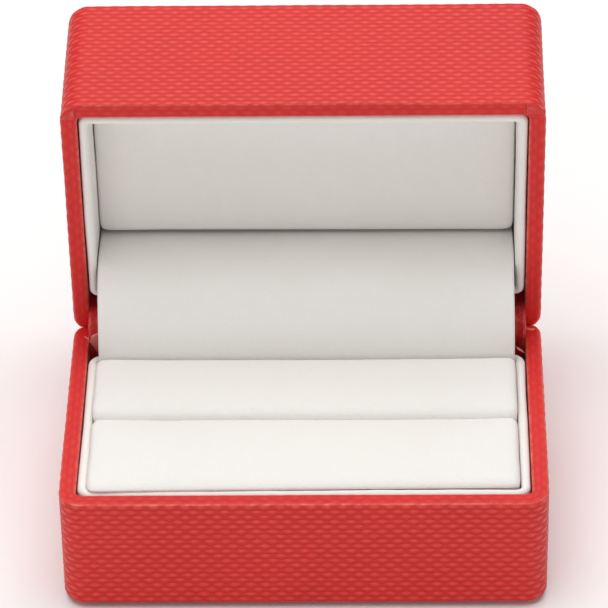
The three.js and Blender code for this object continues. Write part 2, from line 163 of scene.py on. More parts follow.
class Graph:
    """Adds nodes to one material and links them."""

    def __init__(self, mat):
        self.tree = mat.node_tree

    def feed(self, value, socket):
        if isinstance(value, bpy.types.NodeSocket):
            self.tree.links.new(value, socket)
        else:
            socket.default_value = value

    def math(self, operation, a, b=0.0):
        node = self.tree.nodes.new("ShaderNodeMath")
        node.operation = operation
        for value, socket in zip((a, b), node.inputs):
            self.feed(value, socket)
        return node.outputs[0]

    def ramp(self, value, low, high, to_low=0.0, to_high=1.0):
        """A soft step of the value, from to_low at low to to_high at high."""
        node = self.tree.nodes.new("ShaderNodeMapRange")
        node.interpolation_type = "SMOOTHSTEP"
        self.feed(value, node.inputs["Value"])
        ends = {"From Min": low, "From Max": high, "To Min": to_low, "To Max": to_high}
        for name, number in ends.items():
            node.inputs[name].default_value = number
        return node.outputs["Result"]

    def mix(self, share, a, b):
        node = self.tree.nodes.new("ShaderNodeMix")
        node.data_type = "RGBA"
        self.feed(share, node.inputs["Factor"])
        self.feed(a, node.inputs["A"])
        self.feed(b, node.inputs["B"])
        return node.outputs["Result"]

    def object_place(self):
        return self.tree.nodes.new("ShaderNodeTexCoord").outputs["Object"]

    def noise(self, scale, detail=2.0, roughness=0.5, distortion=0.0, at=None):
        node = self.tree.nodes.new("ShaderNodeTexNoise")
        node.inputs["Scale"].default_value = scale
        node.inputs["Detail"].default_value = detail
        node.inputs["Roughness"].default_value = roughness
        node.inputs["Distortion"].default_value = distortion
        self.feed(at or self.object_place(), node.inputs["Vector"])
        return node.outputs["Fac"]

    def pores(self, scale):
        """Distance to the nearest edge of a pattern of small cells."""
        node = self.tree.nodes.new("ShaderNodeTexVoronoi")
        node.feature = "DISTANCE_TO_EDGE"
        node.inputs["Scale"].default_value = scale
        self.feed(self.object_place(), node.inputs["Vector"])
        return node.outputs["Distance"]

    def bump(self, height, distance, strength=1.0, normal=None):
        node = self.tree.nodes.new("ShaderNodeBump")
        node.inputs["Strength"].default_value = strength
        node.inputs["Distance"].default_value = distance
        self.feed(height, node.inputs["Height"])
        if normal is not None:
            self.feed(normal, node.inputs["Normal"])
        return node.outputs["Normal"]

    def attribute(self, name):
        node = self.tree.nodes.new("ShaderNodeAttribute")
        node.attribute_name = name
        return node.outputs["Fac"]

    def pattern_place(self):
        """How many ovals along and rows up a point lies, from the piece's own map."""
        node = self.tree.nodes.new("ShaderNodeUVMap")
        node.uv_map = "pattern"
        split = self.tree.nodes.new("ShaderNodeSeparateXYZ")
        self.tree.links.new(node.outputs[0], split.inputs[0])
        return split.outputs["X"], split.outputs["Y"]


EDGE_HIGHLIGHT_AND_CUT_RED = (0.90, 0.30, 0.23, 1)  # painted highlight along the rims' rounded outer edge, and the pale cut edge of the turned-in skin
# Painted pink highlight on the strip's and the folds' creases.
PINK_CREASE_HIGHLIGHT = (0.88, 0.30, 0.26, 1)
FLECK = (0.62, 0.60, 0.57, 1)  # the few dark specks in the white leatherette


def leatherette_material(name):
    """Red leatherette with staggered rows of raised ovals. The pattern reads the piece's own map."""
    mat, shader = new_material(name)
    g = Graph(mat)
    c = colours()
    # How far a point lies from the middle of its oval, where 1 is about the oval's edge.
    u, v = g.pattern_place()
    row = g.math("FLOOR", g.math("ADD", v, 0.5))
    up = g.math("SUBTRACT", v, row)
    shifted = g.math("ADD", u, g.math("MULTIPLY", g.math("PINGPONG", row, 1.0), 0.5))
    along = g.math("SUBTRACT", g.math("FRACT", g.math("ADD", shifted, 0.5)), 0.5)
    wide = g.math("POWER", g.math("DIVIDE", g.math("ABSOLUTE", along), OVAL_HALF_LENGTH), 1.6)
    tall = g.math("POWER", g.math("DIVIDE", g.math("ABSOLUTE", up), OVAL_HALF_HEIGHT), 2.0)
    radius = g.math("SQRT", g.math("ADD", wide, tall))
    # Two sizes of noise make the ovals' edges ragged.
    patchy = g.noise(520.0, 3.0, 0.65)
    speckle = g.noise(3200.0, 2.0, 0.6)
    ragged = g.math("ADD", radius, g.math("MULTIPLY", g.math("SUBTRACT", patchy, 0.5), 0.75))
    ragged = g.math("ADD", ragged, g.math("MULTIPLY", g.math("SUBTRACT", speckle, 0.5), 0.45))
    oval = g.ramp(ragged, 1.20, 0.20)
    ring = g.math("MULTIPLY", g.ramp(ragged, 0.70, 1.02), g.ramp(ragged, 1.50, 1.08))
    # Weighted below each oval: in the colour, this is the painted shadow that the oval casts.
    groove = g.math("MULTIPLY", ring, g.ramp(up, 0.05, -0.28, 0.10, 1.0))
    embossed = g.attribute("embossed")
    oval_here = g.math("MULTIPLY", oval, embossed)
    groove_here = g.math("MULTIPLY", groove, embossed)
    # Colour: a broad wander, painted shade in the grooves, ovals lighter partly from wear and partly as a
    # painted highlight, and along the edges a painted highlight with the pale cut edge of the skin.
    broad = g.noise(70.0, 3.0, 0.55)
    deeper = (c.red[0] * 0.93, c.red[1] * 0.8, c.red[2] * 1.05, 1)
    tone = g.mix(g.ramp(broad, 0.35, 0.65), c.red, deeper)
    # Painted shade in the grooves.
    tone = g.mix(g.math("MULTIPLY", groove_here, 0.85), tone, c.red_groove_shade)
    # Ovals lighter: partly pale wear, partly a painted highlight on their tops.
    oval_wear_and_highlight = g.math("MULTIPLY", oval_here, g.ramp(patchy, 0.2, 0.75, 0.35, 0.95))
    tone = g.mix(oval_wear_and_highlight, tone, c.red_oval_wear_and_highlight)
    # Pale along the edges: a painted highlight on the rims' rounded outer edge, and the pale cut edge of the
    # skin turned in at the rim's inner edge.
    edge_breakup = g.ramp(g.noise(900.0, 2.0), 0.35, 0.7, 0.25, 0.8)
    tone = g.mix(g.math("MULTIPLY", g.attribute("edge"), edge_breakup), tone, EDGE_HIGHLIGHT_AND_CUT_RED)
    g.feed(tone, shader.inputs["Base Color"])
    g.feed(g.ramp(oval_here, 0.0, 1.0, 0.52, 0.36), shader.inputs["Roughness"])
    shader.inputs["Specular IOR Level"].default_value = 0.42
    shader.inputs["Sheen Weight"].default_value = 0.14
    shader.inputs["Sheen Roughness"].default_value = 0.22
    shader.inputs["Sheen Tint"].default_value = (1.0, 0.72, 0.70, 1)
    # A fine grain, and the ovals' own relief over it.
    grain = g.math("ADD", g.math("MULTIPLY", g.noise(2600.0, 2.0, 0.6), 0.5),
                   g.math("MULTIPLY", g.noise(900.0), 0.5))
    normal = g.bump(grain, 0.03 * MM, 0.8)
    relief = g.math("SUBTRACT", oval_here, g.math("MULTIPLY", groove_here, 0.5))
    g.feed(g.bump(relief, 0.07 * MM, 0.9, normal), shader.inputs["Normal"])
    return mat


def strip_material(name, dark, light, share):
    """The strip over the hinge and the corners' folds: the same leatherette, pressed smooth or creased, with
    patches of painted pink highlight.
    """
    mat, shader = new_material(name)
    g = Graph(mat)
    soft = g.noise(500.0, 4.0, 0.6, 0.6)
    tone = g.mix(g.ramp(soft, 0.35, 0.7), dark, light)
    # Patches of painted pink highlight, as on glossy creases.
    pink_highlight_patches = g.math("MULTIPLY", g.ramp(g.noise(1100.0, 3.0, 0.7), 0.5, 0.75), share)
    tone = g.mix(pink_highlight_patches, tone, PINK_CREASE_HIGHLIGHT)
    g.feed(tone, shader.inputs["Base Color"])
    g.feed(g.ramp(soft, 0.3, 0.7, 0.28, 0.42), shader.inputs["Roughness"])
    shader.inputs["Specular IOR Level"].default_value = 0.55
    wrinkle = g.math("ADD", g.noise(700.0, 4.0, 0.65, 1.2),
                     g.math("MULTIPLY", g.noise(2600.0), 0.25))
    g.feed(g.bump(wrinkle, 0.10 * MM, 0.8), shader.inputs["Normal"])
    return mat


def lining_material(name, grain_depth, grain_scale, dull, crinkle=0.0):
    """Soft white leatherette with a fine grain, a little duller in its grain and in broad patches."""
    mat, shader = new_material(name)
    g = Graph(mat)
    c = colours()
    grain = g.ramp(g.pores(grain_scale), 0.0, 0.16)
    broad = g.noise(45.0, 4.0, 0.55)
    tone = g.mix(g.ramp(broad, 0.3, 0.7, 0.0, dull), c.white, c.white_dull)
    in_pores = g.math("MULTIPLY", g.math("SUBTRACT", 1.0, grain), dull * 0.5)
    tone = g.mix(in_pores, tone, c.white_dull)
    fleck = g.ramp(g.noise(1500.0, 1.0), 0.78, 0.84, 0.0, 0.22)
    tone = g.mix(fleck, tone, FLECK)
    g.feed(tone, shader.inputs["Base Color"])
    g.feed(g.ramp(broad, 0.3, 0.7, 0.52, 0.62), shader.inputs["Roughness"])
    shader.inputs["Specular IOR Level"].default_value = 0.35
    shader.inputs["Sheen Weight"].default_value = 0.06
    shader.inputs["Sheen Roughness"].default_value = 0.5
    normal = g.bump(grain, grain_depth, 0.7)
    if crinkle:
        normal = g.bump(g.noise(260.0, 5.0, 0.62, 0.8), crinkle, 0.8, normal)
    normal = g.bump(g.noise(2200.0, 2.0), 0.02 * MM, 0.5, normal)
    g.feed(normal, shader.inputs["Normal"])
    return mat


def plain_material(name, low, high, scale, roughness, metallic=0.0, depth=0.03 * MM, stretch=None,
                   sheen=0.0):
    """A finish that wanders between two colours, with a fine bump."""
    mat, shader = new_material(name)
    g = Graph(mat)
    at = g.object_place()
    if stretch:
        mapping = mat.node_tree.nodes.new("ShaderNodeMapping")
        mapping.inputs["Scale"].default_value = stretch
        g.feed(at, mapping.inputs["Vector"])
        at = mapping.outputs["Vector"]
    fine = g.noise(scale, 4.0, 0.6, at=at)
    g.feed(g.mix(g.ramp(fine, 0.3, 0.7), (*low, 1), (*high, 1)), shader.inputs["Base Color"])
    g.feed(g.ramp(fine, 0.3, 0.7, roughness - 0.06, roughness + 0.06), shader.inputs["Roughness"])
    shader.inputs["Metallic"].default_value = metallic
    shader.inputs["Sheen Weight"].default_value = sheen
    g.feed(g.bump(fine, depth, 0.7), shader.inputs["Normal"])
    return mat


def flocked_material(name):
    """Flocked paper: short pile, darker between its tufts."""
    low = tuple(colours().foot)[:3]
    high = tuple(part * 1.7 for part in low)
    return plain_material(name, low, high, 2600.0, 0.95, depth=0.12 * MM, sheen=0.5)


# Each finish with the function that makes it and what that function is given after the name.
FINISHES = {
    "red_leatherette": (leatherette_material, {}),
    "red_strip": (strip_material, dict(
        dark=(0.66, 0.013, 0.011, 1), light=(0.74, 0.05, 0.05, 1), share=0.30)),
    # The base's folds: the strip's leatherette painted light pink throughout, a painted highlight on folds
    # that lie in shade.
    "red_fold": (strip_material, dict(
        dark=(0.88, 0.16, 0.14, 1), light=(0.95, 0.36, 0.32, 1), share=0.8)),
    "collar_leatherette": (lining_material, dict(
        grain_depth=0.02 * MM, grain_scale=2400.0, dull=0.25)),
    "cushion_leatherette": (lining_material, dict(
        grain_depth=0.03 * MM, grain_scale=2000.0, dull=0.20)),
    "pad_leatherette": (lining_material, dict(
        grain_depth=0.025 * MM, grain_scale=2000.0, dull=0.45)),
    "flap_leatherette": (lining_material, dict(
        grain_depth=0.03 * MM, grain_scale=1900.0, dull=0.40, crinkle=0.05 * MM)),
    "black_tray": (plain_material, dict(
        low=(0.018, 0.018, 0.02), high=(0.03, 0.03, 0.033), scale=900.0, roughness=0.55)),
    "grey_board": (plain_material, dict(
        low=(0.42, 0.36, 0.28), high=(0.52, 0.46, 0.37), scale=700.0, roughness=0.9, depth=0.06 * MM)),
    "soft_foam": (plain_material, dict(
        low=(0.74, 0.71, 0.62), high=(0.84, 0.81, 0.73), scale=1300.0, roughness=0.95,
        depth=0.15 * MM)),
    "plated_steel": (plain_material, dict(
        low=(0.50, 0.50, 0.51), high=(0.66, 0.66, 0.67), scale=500.0, roughness=0.30, metallic=1.0,
        depth=0.015 * MM, stretch=(0.12, 1.0, 1.0))),
    "flocked_paper": (flocked_material, {}),
}


def finish(name):
    """The material of this name, made the first time it is asked for."""
    found = bpy.data.materials.get(name)
    if found:
        return found
    make, values = FINISHES[name]
    return make(name, **values)


def dress_node(node, finish_name):
    """Gives a CAD node its material and leaves its mesh as it is."""
    slots = frame["nodes"][node].data.materials
    slots.clear()
    slots.append(finish(finish_name))


# ---------------------------------------------------------------- mesh helpers

def smoothstep(t):
    """From 0 to 1 with a gentle start and end."""
    return t * t * (3 - 2 * t)


def hill(distance, width):
    """1 at no distance, falling away smoothly over about this width."""
    return np.exp(-(distance / width) ** 2)


def read_points(mesh):
    """The mesh's vertex positions, one row each."""
    co = np.empty(len(mesh.vertices) * 3)
    mesh.vertices.foreach_get("co", co)
    return co.reshape(-1, 3)


def write_points(mesh, co):
    mesh.vertices.foreach_set("co", co.astype(np.float32).ravel())


def shade_smooth(mesh):
    mesh.polygons.foreach_set("use_smooth", np.ones(len(mesh.polygons), bool))


def make_object(bm, name, finish_name):
    """Turns a bmesh into a smooth-shaded object of one finish."""
    mesh = bpy.data.meshes.new(name)
    bm.to_mesh(mesh)
    bm.free()
    mesh.materials.append(finish(finish_name))
    shade_smooth(mesh)
    obj = bpy.data.objects.new(name, mesh)
    bpy.context.scene.collection.objects.link(obj)
    return obj


def sheet_grid(columns, rows):
    """A flat grid with a map, and each vertex's place across and up it from 0 to 1."""
    bm = bmesh.new()
    bm.loops.layers.uv.new("pattern")
    bmesh.ops.create_grid(bm, x_segments=columns, y_segments=rows, size=0.5, calc_uvs=False)
    bm.verts.ensure_lookup_table()
    place = np.array([(v.co.x + 0.5, v.co.y + 0.5) for v in bm.verts])
    return bm, place


def move_to(bm, co):
    """Moves each vertex to its row of positions."""
    for vert, place in zip(bm.verts, co.tolist()):
        vert.co = place


def set_map(bm, uv):
    """Writes the pattern map from one (across, up) pair per vertex."""
    layer = bm.loops.layers.uv["pattern"]
    uv = uv.tolist()
    for face in bm.faces:
        for loop in face.loops:
            loop[layer].uv = uv[loop.vert.index]


def set_float(bm, name, values):
    """Writes one number per vertex, for the finish to read by name."""
    layer = bm.verts.layers.float.new(name)
    for vert, value in zip(bm.verts, values.tolist()):
        vert[layer] = value


def close_up(bm):
    """Merges the grid's meeting edges and turns its faces outwards."""
    bmesh.ops.remove_doubles(bm, verts=bm.verts[:], dist=1e-6)
    bmesh.ops.dissolve_degenerate(bm, edges=bm.edges[:], dist=1e-7)
    bmesh.ops.recalc_face_normals(bm, faces=bm.faces[:])


def outline(share, inset, box, radius):
    """Where a share of the way round a round-cornered rectangle lies, moved in by inset.

    box is (half width, low y, high y). The way round starts at the middle of the back and runs
    anticlockwise from above. Returns x, y, the outward direction, and the length of the way round."""
    half, low, high = box
    r = np.maximum(radius - inset, 0.35 * MM)
    straight_x, straight_y = 2 * (half - radius), (high - low) - 2 * radius
    arc = math.pi / 2 * radius
    total = 2 * (straight_x + straight_y) + 4 * arc
    way = np.mod(share, 1.0) * total
    cx, y0, y1 = half - inset - r, low + inset + r, high - inset - r
    x, y = np.zeros_like(way), np.zeros_like(way)
    nx, ny = np.zeros_like(way), np.zeros_like(way)

    def straight(mask, t, ax, ay, bx, by, dx, dy):
        x[mask] = (ax + (bx - ax) * t + r * dx)[mask]
        y[mask] = (ay + (by - ay) * t + r * dy)[mask]
        nx[mask], ny[mask] = dx, dy

    def corner(mask, t, px, py, quarter):
        a = quarter * math.pi / 2 + np.clip(t, 0, 1) * math.pi / 2
        x[mask] = (px + r * np.cos(a))[mask]
        y[mask] = (py + r * np.sin(a))[mask]
        nx[mask], ny[mask] = np.cos(a)[mask], np.sin(a)[mask]

    middle = np.zeros_like(cx)
    at = 0.0
    for run, draw, where in (
            (straight_x / 2, straight, (middle, y1, -cx, y1, 0, 1)),
            (arc, corner, (-cx, y1, 1)),
            (straight_y, straight, (-cx, y1, -cx, y0, -1, 0)),
            (arc, corner, (-cx, y0, 2)),
            (straight_x, straight, (-cx, y0, cx, y0, 0, -1)),
            (arc, corner, (cx, y0, 3)),
            (straight_y, straight, (cx, y0, cx, y1, 1, 0)),
            (arc, corner, (cx, y1, 0)),
            (straight_x / 2, straight, (cx, y1, middle, y1, 0, 1))):
        mask = (way >= at - 1e-12) & (way <= at + run + 1e-12)
        draw(mask, (way - at) / run, *where)
        at += run
    return x, y, nx, ny, total


def arc_line(inset, depth, radius, first, sweep, steps):
    """Points round an edge in the section plane, with their directions. Angles are in quarter turns."""
    line = []
    for a in np.linspace(first, first + sweep, steps) * (math.pi / 2):
        out, down = math.cos(a), math.sin(a)
        line.append((inset + radius * out, depth + radius * down, out, down))
    return line


def resample(points, spacing):
    """Even steps along a section line of (inset, depth, direction of each), and the way to each."""
    p = np.array(points, float)
    gaps = np.hypot(np.diff(p[:, 0]), np.diff(p[:, 1]))
    keep = np.concatenate([[True], gaps > 1e-9])
    p = p[keep]
    gaps = np.hypot(np.diff(p[:, 0]), np.diff(p[:, 1]))
    way = np.concatenate([[0], np.cumsum(gaps)])
    count = max(1, int(round(way[-1] / spacing)))
    at = np.linspace(0, way[-1], count + 1)
    q = np.stack([np.interp(at, way, p[:, k]) for k in range(4)], 1)
    q[:, 2:] /= np.maximum(np.hypot(q[:, 2], q[:, 3]), 1e-9)[:, None]
    return q, at


def ovals(u, v):
    """Height of the embossed pattern from 0 in the grooves to 1 on the ovals."""
    row = np.floor(v + 0.5)
    up = v - row
    along = np.mod(u + 0.5 * np.mod(row, 2) + 0.5, 1.0) - 0.5
    r = np.hypot(along / OVAL_HALF_LENGTH, up / OVAL_HALF_RELIEF)
    dome = np.clip(1 - r, -0.35, 1)
    between_ovals = 0.25 * np.clip((r - 1.02) / 0.3, 0, 1)
    return smoothstep(np.clip((dome + 0.1) / 0.75, 0, 1)) + between_ovals


def waves(x, y, z, scale, seed):
    """A smooth, repeatable wander of about -1 to 1."""
    total = np.zeros_like(x)
    for k in range(6):
        a = np.sin(seed * 12.9 + k * 4.1 + np.array([0.0, 1.7, 3.1])) * (1 + 0.35 * k)
        total += np.sin((a[0] * x + a[1] * y + a[2] * z) / scale + seed + 2.1 * k) / (1 + 0.5 * k)
    return total / 3.0


# ---------------------------------------------------------------- red wrap

BARREL_DROP = 1.45 * MM  # how far the rim is let down behind the hinge's barrel
BARREL_ROOM = 0.35 * MM  # clear at each end of the barrel
SKIN_INSIDE = 7 * MM  # how far the skin reaches down inside the rim
OUTER_ROUND = 0.8 * MM  # rounding of the outer face's edge
BASE_TURNED_IN = 6 * MM  # how far the skin is turned in over the outer face
LID_TURNED_IN = 2.4 * MM
COLUMNS_PER_OVAL = 6
RIM_ROWS_PER_OVAL = 8  # mesh rows to a row of ovals round the rim; elsewhere every second one stays
HIDDEN_ROWS = 16  # and where the collar hides the skin, one in this many
PANEL_ROWS_PER_OVAL = 5
MEAN_RELIEF = 0.6  # the height of the pattern that lies on the plain outline


def rear_drop(x, y, base_half):
    """How far the rim is let down near the hinge, for the barrel and so that the two halves clear."""
    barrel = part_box("hinge_pin")[1].x + BARREL_ROOM
    slope = math.tan(OPENING / 2 + math.radians(0.3))
    edge = abs((BASE_RIM if base_half else LID_RIM) - PIN.z)
    drop = np.maximum((y - PIN.y) * slope - edge, 0.0)
    inside = (np.abs(x) < barrel) & (y > HALF_DEPTH - sizes().rim - 0.9 * MM)
    return np.where(inside, np.maximum(drop, BARREL_DROP), drop)


def wrap_section(height, under):
    """One half's skin as a closed section line: outside, over the rim, down inside, and back behind.

    Given as (inset, depth below the rim) with outward directions. The first part carries the pattern."""
    s = sizes()
    r, rim, skin = s.rim_round, s.rim, s.skin
    outside = [
        (under, height, 0, 1), (OUTER_ROUND, height, 0, 1),
        *arc_line(OUTER_ROUND, height - OUTER_ROUND, OUTER_ROUND, 1, 1, 7),
        (0.0, r, -1, 0), *arc_line(r, r, r, 2, 1, 6),
        (rim - r, 0.0, 0, -1), *arc_line(rim - r, r, r, 3, 1, 6),
        (rim, SKIN_INSIDE, 1, 0)]
    behind = [
        (rim - skin, SKIN_INSIDE, -1, 0), (rim - skin, skin, -1, 0), (skin, skin, 0, 1),
        (skin, height - skin, 1, 0), (under, height - skin, 0, -1), (under, height, 0, 0)]
    return outside, behind


def make_wrap(name, base_half):
    """The leatherette of one half, with its pattern in the mesh."""
    s = sizes()
    box = (HALF_WIDTH, -HALF_DEPTH, HALF_DEPTH)
    if base_half:
        rim_z, way_z, height, under = BASE_RIM, -1.0, BASE_HIGH.z - BASE_LOW.z, BASE_TURNED_IN
    else:
        rim_z, way_z, height, under = LID_RIM, 1.0, LID_HIGH.z - LID_LOW.z, LID_TURNED_IN
    outside, behind = wrap_section(height, under)
    line, along = resample(outside, s.row_height / RIM_ROWS_PER_OVAL)
    hidden = (line[:, 0] > s.rim - 0.02 * MM) & (line[:, 1] > 1.2 * MM)
    at_rim = (line[:, 1] < 1.0 * MM) & ~hidden
    count = np.arange(len(line))[::-1]
    keep = at_rim | np.where(hidden, count % HIDDEN_ROWS == 0, count % 2 == 0)
    keep[0] = True
    line, along = line[keep], along[keep]
    section = np.vstack([line, np.array(behind, float)])
    way = np.concatenate([along, np.full(len(behind), along[-1])])
    flat = np.concatenate([np.ones(len(line)), np.zeros(len(behind))])
    rows = len(section) - 1

    perimeter = outline(np.zeros(1), np.zeros(1), box, s.corner)[4]
    ovals_round = int(round(perimeter / s.oval_length))
    bm, place = sheet_grid(ovals_round * COLUMNS_PER_OVAL, rows)
    index = np.clip(np.rint(place[:, 1] * rows).astype(int), 0, rows)
    inset, depth, out_i, out_d = section[index].T
    x, y, nx, ny, _ = outline(place[:, 0], inset, box, s.corner)
    u = place[:, 0] * ovals_round
    v = (along[-1] - way[index]) / s.row_height

    # The relief stops inside the rim and where the skin is turned in, and is pressed flatter on the
    # rims, along their outer edge and where the rim is let down at the back.
    here = flat[index] * ((inset < s.rim - 0.02 * MM) | (depth < 2 * MM))
    on_rim = np.clip((inset - 0.1 * MM) / (0.5 * MM), 0, 1) * (depth < 1 * MM)
    here *= 1 - on_rim * (0.68 + 0.12 * np.clip(y / HALF_DEPTH, -1, 1))
    at_edge = hill(np.hypot(inset - 0.12 * MM, depth - 0.12 * MM), 0.17 * MM)
    here *= 1 - (0.7 if base_half else 0.2) * at_edge
    drop = rear_drop(x, y, base_half)
    here *= np.where((drop > 0.02 * MM) & (depth < 0.6 * MM), 0.0, 1.0)
    wander = waves(x, y, depth, 5 * MM, 3.0 if base_half else 5.0) * 0.04 * MM
    push = ((ovals(u, v) - MEAN_RELIEF) * s.relief + wander) * here

    # The drop at the back fades out down the wall.
    depth = depth + drop * smoothstep(np.clip(1 - depth / (5.5 * MM), 0, 1))
    z = rim_z + way_z * (depth + out_d * push)
    co = np.stack([x - nx * out_i * push, y - ny * out_i * push, z], 1)
    # The edge mark: a painted highlight on the rim's rounded outer edge, with the pale cut edge of the skin
    # along the rim's inner edge.
    inner_edge = hill(np.hypot(inset - s.rim, section[index, 1] - 0.35 * MM), 0.35 * MM)
    edge_highlight_and_cut = np.maximum((0.9 if base_half else 0.5) * at_edge, inner_edge) * flat[index]
    set_map(bm, np.stack([u, v], 1))
    set_float(bm, "embossed", here)
    set_float(bm, "edge", edge_highlight_and_cut)
    move_to(bm, co if base_half else turned_open(co))
    close_up(bm)
    return make_object(bm, name, "red_leatherette")


def turned_open(co):
    """Points of the lid's shut place, turned to where they lie with the lid open."""
    m = np.array(TURN_OPEN)
    return co @ m[:3, :3].T + m[:3, 3]


def make_lid_panel():
    """The leatherette over the lid's outer face, lying inside the sides' turned edge."""
    s = sizes()
    margin, thick, edge_drop = 1.3 * MM, 0.32 * MM, 0.14 * MM
    half, deep = HALF_WIDTH - margin, HALF_DEPTH - margin
    columns = int(2 * half / (s.oval_length / COLUMNS_PER_OVAL))
    rows = int(2 * deep / (s.row_height / PANEL_ROWS_PER_OVAL))
    bm, place = sheet_grid(columns, rows)
    flat_x, flat_y = (place[:, 0] * 2 - 1) * half, (place[:, 1] * 2 - 1) * deep
    # Corners are drawn in to the outline's rounding.
    r = s.corner - margin
    cx, cy = half - r, deep - r
    past_x, past_y = np.maximum(np.abs(flat_x) - cx, 0), np.maximum(np.abs(flat_y) - cy, 0)
    past = np.hypot(past_x, past_y)
    shrink = np.where(past > 1e-9, np.maximum(past_x, past_y) / np.maximum(past, 1e-9), 1.0)
    x = np.sign(flat_x) * (np.minimum(np.abs(flat_x), cx) + past_x * shrink)
    y = np.sign(flat_y) * (np.minimum(np.abs(flat_y), cy) + past_y * shrink)
    u, v = flat_x / s.oval_length, flat_y / s.row_height
    to_edge = np.minimum(half - np.abs(flat_x), deep - np.abs(flat_y))
    fade = np.clip(to_edge / (0.5 * MM), 0, 1)
    top = LID_HIGH.z + thick * 0.35
    z = top + (ovals(u, v) - MEAN_RELIEF) * s.relief * fade - (1 - fade) * edge_drop
    set_map(bm, np.stack([u, v], 1))
    set_float(bm, "embossed", np.ones(len(x)))
    # A faint painted highlight along the panel's drawn-down edge.
    set_float(bm, "edge", 0.25 * (1 - fade))
    move_to(bm, np.stack([x, y, z], 1))
    # The edge is drawn down and closed below.
    made = bmesh.ops.extrude_edge_only(bm, edges=[e for e in bm.edges if e.is_boundary])["geom"]
    for item in made:
        if isinstance(item, bmesh.types.BMVert):
            item.co.z = top - thick
    bmesh.ops.contextual_create(bm, geom=[item for item in made if isinstance(item, bmesh.types.BMEdge)])
    bmesh.ops.recalc_face_normals(bm, faces=bm.faces[:])
    bmesh.ops.transform(bm, matrix=TURN_OPEN, verts=bm.verts)
    return make_object(bm, "lid_wrap_panel", "red_leatherette")


FOLD_THICK = 0.12 * MM

# Small folds where the leatherette is tucked in at the corners, with the lid shut. Each has its side
# of the box, -1 left or 1 right, and its corners in millimetres: in from that side, back from the
# lid's front or from the pin, and up from the rim.
LID_FOLDS = {
    "lid_wrap_fold_left": (-1, [
        (2.45, 0.3, -0.06), (0.08, 2.1, -0.06), (0.08, 2.7, -0.06), (2.3, 2.65, -0.06)]),
    "lid_wrap_fold_right": (1, [
        (0.08, 2.0, -0.06), (0.15, 1.5, -0.06), (3.1, 0.12, -0.06), (3.1, 2.1, -0.06)]),
}
BASE_FOLDS = {
    "base_wrap_fold_left": (-1, [
        (1.6, -2.25, 0.06), (2.75, -3.15, 0.06), (3.15, -3.45, 0.95), (4.35, -3.3, 1.5),
        (4.35, -3.6, -1.3), (4.25, -3.6, -3.4), (3.4, -3.6, -1.5), (2.6, -3.5, -0.3)]),
    "base_wrap_fold_right": (1, [
        (3.9, -0.9, 0.06), (1.2, -1.3, 0.06), (0.9, -0.8, 0.06), (3.8, -0.2, 0.06)]),
    "base_wrap_tuck_right": (1, [
        (4.2, -4.9, -0.44), (3.9, -5.9, -0.44), (2.8, -6.8, -0.44), (3.3, -5.8, -0.44)]),
}


def make_fold(name, side, corners, start, crease, finish_name):
    """A small creased patch of leatherette over its corners, which are given from a starting place."""
    bm = bmesh.new()
    verts = [bm.verts.new((side * (HALF_WIDTH - x * MM), start.y + y * MM, start.z + z * MM))
             for x, y, z in corners]
    bmesh.ops.triangulate(bm, faces=[bm.faces.new(verts)])
    bmesh.ops.subdivide_edges(bm, edges=bm.edges[:], cuts=7, use_grid_fill=True)
    bmesh.ops.smooth_vert(bm, verts=[v for v in bm.verts if not v.is_boundary], factor=0.5,
                          use_axis_x=True, use_axis_y=True, use_axis_z=True)
    co = np.array([v.co for v in bm.verts])
    co[:, 2] += crease * (0.7 * waves(*co.T, 0.55 * MM, 2.0) + 0.3 * waves(*co.T, 0.2 * MM, 5.0))
    move_to(bm, co)
    bmesh.ops.recalc_face_normals(bm, faces=bm.faces[:])
    bmesh.ops.solidify(bm, geom=bm.faces[:], thickness=FOLD_THICK)
    bmesh.ops.recalc_face_normals(bm, faces=bm.faces[:])
    return make_object(bm, name, finish_name)


class RINGBOX_OT_wrap(bpy.types.Operator):
    """Wraps both halves in embossed red leatherette"""

    bl_idname = "ring_box.wrap"
    bl_label = "Wrap the halves"

    def execute(self, context):
        of_base = [make_wrap("base_wrap_skin", True)]
        of_lid = [make_wrap("lid_wrap_skin", False), make_lid_panel()]
        lid_start, base_start = Vector((0, -HALF_DEPTH, LID_RIM)), Vector((0, PIN.y, BASE_RIM))
        for name, (side, corners) in LID_FOLDS.items():
            fold = make_fold(name, side, corners, lid_start, 0.03 * MM, "red_strip")
            fold.data.transform(TURN_OPEN)
            of_lid.append(fold)
        for name, (side, corners) in BASE_FOLDS.items():
            of_base.append(make_fold(name, side, corners, base_start, 0.11 * MM, "red_fold"))
        for body, node, pieces in (("base", "base_wrap", of_base), ("lid", "lid_wrap", of_lid)):
            for piece in pieces:
                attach(piece, body)
                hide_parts(node)
        return {"FINISHED"}


# ---------------------------------------------------------------- white collars

COLLAR_COLUMNS = 420
BASE_COLLAR_CORNER, LID_COLLAR_CORNER = 2.3 * MM, 1.5 * MM


